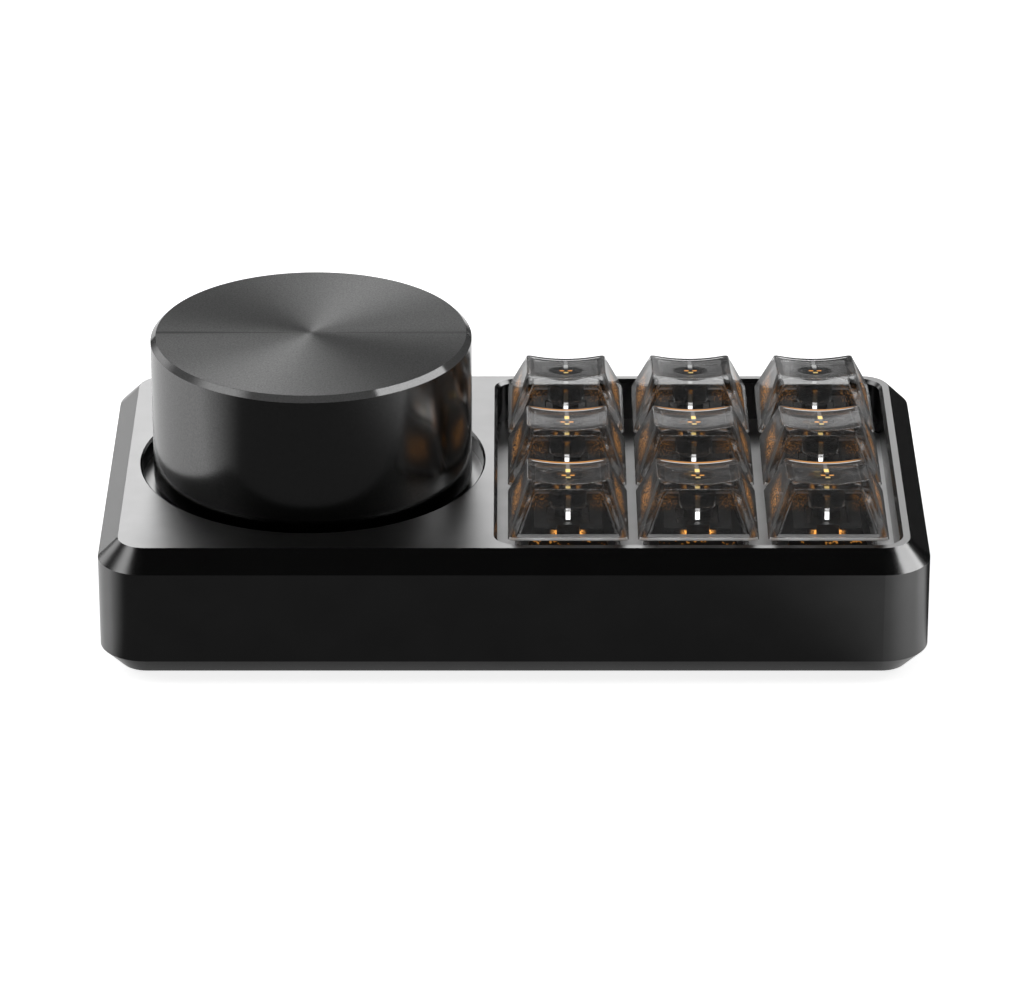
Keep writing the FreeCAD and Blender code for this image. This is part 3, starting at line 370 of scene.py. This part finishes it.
def moulded(name, dark, light, roughness, depth=0.002 * MM):
    """Moulded plastic with a faint grain and a slightly uneven colour."""
    paint = Paint(name)
    grain = paint.noise(0.3 * MM, 3.0)
    paint.set(Base_Color=paint.mix(paint.vary(paint.noise(3 * MM), 0, 1), dark, light))
    paint.set(Roughness=paint.vary(grain, roughness * 0.85, roughness * 1.15))
    paint.set(Normal=paint.bump(grain, depth))
    return paint


def plastic(name, dark, light, roughness, **grain):
    return moulded(name, dark, light, roughness, **grain).material


def make_stem_amber():
    """Smoky stem with painted light on the front arm of its cross, given off as emission: white low down, dim
    above, and amber glints at its tips.
    """
    paint = moulded("stem_amber", (0.012, 0.008, 0.004, 1), (0.02, 0.012, 0.006, 1), 0.3)
    where = paint.generated()
    off_middle, depth = where["off_middle"], where["depth"]
    level = paint.split(paint.place())["Z"]
    # Painted light: a white glowing band low on the front arm, a dim pale glow above it, and amber glints
    # near the top
    painted_bar_top = housing_top + PAINTED_BAR_HEIGHT
    arm = paint.all_of(paint.math("LESS_THAN", off_middle, PAINTED_BAR_HALF_WIDTH / stem_width),
                       paint.math("LESS_THAN", depth, 0.24), paint.math("GREATER_THAN", level, housing_top))
    painted_white_bar = paint.all_of(arm, paint.math("LESS_THAN", level, painted_bar_top))
    line = paint.all_of(arm, paint.math("GREATER_THAN", level, painted_bar_top))
    speckle = paint.remap(paint.noise(0.35 * MM, roughness=0.7), 0.45, 0.6, 0, 1)
    tips = paint.all_of(paint.near(off_middle, 0.0, 0.03, 0.02), paint.math("LESS_THAN", depth, 0.3),
                        paint.math("GREATER_THAN", level, stem_top - 0.5 * MM), speckle)
    paint.glow([(line, PALE, 0.22), (tips, AMBER, 0.8), (painted_white_bar, grey(1.0), 5.0)])
    return paint.material


def make_switch_black():
    """Black switch shell, with painted specks of amber light, given off as emission, along the slot over its
    lamp and down its front.
    """
    paint = moulded("switch_black", grey(0.004), grey(0.007), 0.45)
    where = paint.generated()
    # Painted light: amber glints glow on the shell where the lamp's light would leak out and catch its front
    speckle = paint.remap(paint.noise(0.25 * MM, roughness=0.8), 0.38, 0.52, 0, 1)
    slot = paint.all_of(paint.within(where, depth=(0.13, 0.05, 0.03), height=(0.90, 0.04, 0.03)), speckle)
    ends = paint.all_of(slot, paint.near(where["off_middle"], 0.08, 0.045, 0.04))
    between = paint.all_of(slot, paint.near(where["off_middle"], 0.0, 0.15, 0.05))
    few = paint.remap(paint.noise(0.5 * MM, 1.0), 0.62, 0.68, 0, 1)
    front = paint.all_of(paint.within(where, height=(0.64, 0.05, 0.03), off_middle=(0.0, 0.3, 0.2)),
                         paint.math("LESS_THAN", where["depth"], 0.2), few)
    paint.glow([(front, AMBER, 0.4), (between, AMBER, 1.5), (ends, AMBER, 3.0)])
    return paint.material


def make_lamp():
    paint = moulded("lamp_lens", (0.8, 0.5, 0.2, 1), (0.9, 0.6, 0.3, 1), 0.3)
    paint.set(Emission_Color=LAMP_LIGHT, Emission_Strength=6.0)
    return paint.material


def make_materials():
    dress(["case", "bottom_plate"], make_case_metal())
    dress(["knob"], make_knob_metal())
    caps = numbered("keycap")
    # Two copies of the cap material, alike but for the painted light along the back of the top
    dress(caps[:3], make_smoked_glass("clear_cap_back", key_behind=False))
    dress(caps[3:], make_smoked_glass("clear_cap", key_behind=True))
    dress(numbered("stem"), make_stem_amber())
    dress(numbered("switch_top"), make_switch_black())
    dress(["switch_bottoms"], plastic("switch_base_black", grey(0.004), grey(0.007), 0.25))
    dress(["switch_plate"], satin_metal("plate_metal", grey(0.22), grey(0.26), 0.42))
    dress(numbered("spring"), satin_metal("spring_steel", grey(0.5), grey(0.6), 0.25))
    copper = satin_metal("contact_copper", (0.7, 0.35, 0.2, 1), (0.8, 0.42, 0.25, 1), 0.25)
    dress(["contact_leaves"], copper)
    dress(["key_lamps"], make_lamp())
    board = plastic("board", (0.003, 0.006, 0.004, 1), (0.006, 0.012, 0.008, 1), 0.4)
    dress(["circuit_board"], board)
    dress(["microcontroller", "diodes"], plastic("chip_black", grey(0.01), grey(0.016), 0.5))
    dress(["hot_swap_sockets"], plastic("socket_plastic", grey(0.02), grey(0.03), 0.45))
    brass = satin_metal("spacer_brass", (0.62, 0.45, 0.2, 1), (0.7, 0.52, 0.25, 1), 0.3)
    dress(["plate_spacers"], brass)
    steel = satin_metal("screw_steel", grey(0.1), grey(0.14), 0.3)
    dress(["case_screws", "board_screws", "knob_grub_screw"], steel)
    bright = satin_metal("bare_steel", grey(0.5), grey(0.6), 0.25)
    dress(["encoder_bushing", "encoder_washer", "encoder_nut", "encoder_shaft", "usb_socket"], bright)
    dress(["encoder_body", "encoder_plunger", "usb_tongue"],
          plastic("encoder_plastic", grey(0.02), grey(0.03), 0.4))
    dress(["rubber_feet"], plastic("foot_rubber", grey(0.015), grey(0.025), 0.8, depth=0.01 * MM))


def let_springs_close():
    """Each key's return spring gets a mesh of its own."""
    for joint in frame["joints"]:
        if not joint["name"].endswith("_press"):
            continue
        spring = "spring_" + joint["name"].split("_")[1]
        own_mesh(nodes[spring])


def link_to_scene(item):
    bpy.context.scene.collection.objects.link(item)
    return item


def make_camera():
    data = bpy.data.cameras.new("camera")
    data.sensor_width = SENSOR_WIDTH
    data.sensor_fit = "HORIZONTAL"
    data.lens = CAMERA_LENS
    data.clip_start = 0.01
    data.clip_end = 50.0
    camera = link_to_scene(bpy.data.objects.new("camera", data))
    camera.location = CAMERA_PLACE
    camera.rotation_euler = (CAMERA_TILT, 0, 0)
    bpy.context.scene.camera = camera


def seen_only_in_gloss(item):
    item.visible_camera = False
    item.visible_diffuse = False
    item.visible_transmission = False
    item.visible_volume_scatter = False
    item.visible_shadow = False


def square(name, half_width, half_height, material):
    """Flat sheet round its own origin."""
    mesh = bpy.data.meshes.new(name)
    w, h = half_width, half_height
    mesh.from_pydata([(-w, -h, 0), (w, -h, 0), (w, h, 0), (-w, h, 0)], [], [(0, 1, 2, 3)])
    mesh.materials.append(material)
    return link_to_scene(bpy.data.objects.new(name, mesh))


def card(name, azimuth, elevation, half_width, half_height, strength, flat=(0.3, 0.3), lean=0.0):
    """A bright card that the metal mirrors, sized in degrees as the keypad sees it.
    Azimuth 0 is behind the keypad and 90 at its right; flat is the share of each half that doesn't fade;
    lean turns the card in its own plane."""
    paint = Paint(name)
    spot = paint.split(paint.add("ShaderNodeTexCoord").outputs["Generated"])
    edges = 1.0
    for axis, share in zip(("X", "Y"), flat):
        off_middle = paint.math("ABSOLUTE", paint.math("SUBTRACT", spot[axis], 0.5))
        fade = paint.remap(off_middle, share / 2, 0.5, 1, 0, smooth=True)
        edges = paint.math("MULTIPLY", edges, fade)
    glow = paint.add("ShaderNodeEmission", {"Strength": paint.math("MULTIPLY", edges, strength)})
    clear = paint.add("ShaderNodeBsdfTransparent")
    both = paint.add("ShaderNodeAddShader")
    paint.feed(both.inputs[0], glow.outputs["Emission"])
    paint.feed(both.inputs[1], clear.outputs["BSDF"])
    paint.show(both.outputs["Shader"])
    w, h = (CARD_DISTANCE * math.tan(math.radians(half)) for half in (half_width, half_height))
    item = square(name, w, h, paint.material)
    a, e = math.radians(azimuth), math.radians(elevation)
    towards = Vector((math.sin(a) * math.cos(e), math.cos(a) * math.cos(e), math.sin(e)))
    item.location = towards * CARD_DISTANCE
    turned = towards.to_track_quat("Z", "Y") @ Quaternion((0, 0, 1), math.radians(lean))
    item.rotation_euler = turned.to_euler()
    seen_only_in_gloss(item)


def make_tent():
    """Dark tent round the table, seen only in the metal."""
    mesh = bpy.data.meshes.new("tent")
    rings, sides = 24, 48
    points, faces = [], []
    for ring in range(rings + 1):
        e = math.pi * (ring / rings - 0.5)
        for side in range(sides):
            a = 2 * math.pi * side / sides
            points.append((math.cos(a) * math.cos(e) * TENT_RADIUS, math.sin(a) * math.cos(e) * TENT_RADIUS,
                           math.sin(e) * TENT_RADIUS))
    for ring in range(rings):
        for side in range(sides):
            following = (side + 1) % sides
            start, above = ring * sides, (ring + 1) * sides
            faces.append((start + side, above + side, above + following, start + following))
    mesh.from_pydata(points, [], faces)
    paint = Paint("tent")
    height = paint.split(paint.place())["Z"]
    level = paint.remap(height, -0.2, 0.0, TENT_BELOW, TENT_ABOVE)
    glow = paint.add("ShaderNodeEmission", {"Strength": level})
    paint.show(glow.outputs["Emission"])
    mesh.materials.append(paint.material)
    tent = link_to_scene(bpy.data.objects.new("tent", mesh))
    seen_only_in_gloss(tent)


def make_floor():
    """Pale table that shows white itself, and dimmer in the metal."""
    paint = Paint("floor")
    tone = paint.mix(paint.vary(paint.noise(2 * MM), 0, 1), grey(0.79), grey(0.81))
    paint.set(Base_Color=tone, Roughness=0.9, Specular_IOR_Level=0.0)
    seen = paint.add("ShaderNodeLightPath").outputs
    directly = paint.math("MAXIMUM", seen["Is Camera Ray"], seen["Is Transmission Ray"])
    mirrored = paint.math("MULTIPLY", seen["Is Glossy Ray"], FLOOR_GLOW_IN_METAL)
    strength = paint.math("MAXIMUM", paint.math("MULTIPLY", directly, FLOOR_GLOW), mirrored)
    paint.set(Emission_Color=grey(1.0), Emission_Strength=strength)
    floor = square("floor", FLOOR_SIZE / 2, FLOOR_SIZE / 2, paint.material)


def make_table_flag():
    """Black cloth on the table, seen only in the metal: in front of the keypad and behind its right end."""
    paint = Paint("table_flag")
    spot = paint.split(paint.place())
    forwards = paint.math("MULTIPLY", spot["Y"], -1.0)
    ahead = paint.math("SUBTRACT", forwards, FLAG_PIVOT_Y)
    left = paint.math("SUBTRACT", paint.math("MULTIPLY", spot["X"], -1.0), FLAG_PIVOT_X)
    right = paint.math("SUBTRACT", spot["X"], FLAG_PIVOT_X)
    to_left = paint.remap(paint.math("ARCTAN2", left, ahead), *FLAG_LEFT, 1, 0, smooth=True)
    to_right = paint.remap(paint.math("ARCTAN2", right, ahead), *FLAG_RIGHT, *FLAG_RIGHT_COVER, smooth=True)
    in_front = paint.all_of(paint.math("MINIMUM", to_left, to_right),
                            paint.remap(forwards, *FLAG_START, 0, 1, smooth=True))
    turned = paint.math("ARCTAN2", right, paint.math("ADD", spot["Y"], FLAG_PIVOT_Y))
    behind = paint.all_of(paint.remap(turned, *FLAG_BEHIND_FROM, 0, 1, smooth=True),
                          paint.remap(turned, *FLAG_BEHIND_TO, 1, 0, smooth=True))
    dark = paint.add("ShaderNodeEmission", {"Strength": FLAG_TONE}).outputs["Emission"]
    clear = paint.add("ShaderNodeBsdfTransparent").outputs["BSDF"]
    paint.show(paint.mix_shaders(paint.math("MAXIMUM", in_front, behind), clear, dark))
    flag = square("table_flag", FLAG_SIZE / 2, FLAG_SIZE / 2, paint.material)
    flag.location.z = FLAG_LEVEL
    seen_only_in_gloss(flag)


def make_world():
    """White where it is seen, mirrored or seen through the caps, and dimmer as light on the object."""
    world = bpy.data.worlds.new("studio")
    world.use_nodes = True
    bpy.context.scene.world = world
    sky = Nodes(world.node_tree)
    seen = sky.add("ShaderNodeLightPath").outputs
    shiny = sky.math("MAXIMUM", seen["Is Glossy Ray"], seen["Is Transmission Ray"])
    shown = sky.math("MAXIMUM", seen["Is Camera Ray"], shiny)
    background = sky.tree.nodes["Background"]
    sky.feed(background.inputs["Strength"], sky.remap(shown, 0, 1, AMBIENT, 1.0))
    sky.feed(background.inputs["Color"], grey(1.0))


def lamp(name, place, size, level):
    """A soft square lamp that lights the table and the clear caps, aimed at the keypad."""
    data = bpy.data.lights.new(name, "AREA")
    data.size = size
    data.energy = level * math.pi * size * size
    item = link_to_scene(bpy.data.objects.new(name, data))
    item.location = place
    item.rotation_euler = Vector(place).to_track_quat("Z", "Y").to_euler()
    item.visible_glossy = False
    item.visible_camera = False


def make_studio():
    make_world()
    make_floor()
    make_tent()
    make_table_flag()
    card("back_card", azimuth=-13, elevation=30, half_width=26, half_height=15, strength=6.2, lean=22)
    card("left_card", azimuth=-88, elevation=49, half_width=36, half_height=13, strength=1.7)
    card("low_left_card", azimuth=-54, elevation=15, half_width=24, half_height=14, strength=1.3)
    card("right_card", azimuth=84, elevation=43, half_width=23, half_height=7, strength=3.4,
         flat=(0.94, 0.94), lean=-35)
    card("low_right_card", azimuth=80, elevation=22, half_width=13, half_height=11, strength=4.5)
    lamp("back_lamp", place=(-0.3, 1.4, 1.2), size=1.0, level=3.0)
    lamp("left_lamp", place=(-1.4, -0.2, 1.2), size=1.0, level=2.0)
    lamp("right_lamp", place=(1.4, -0.3, 1.4), size=0.8, level=2.0)


bpy.context.scene.view_settings.view_transform = "Standard"
make_camera()
make_materials()
let_springs_close()
make_studio()
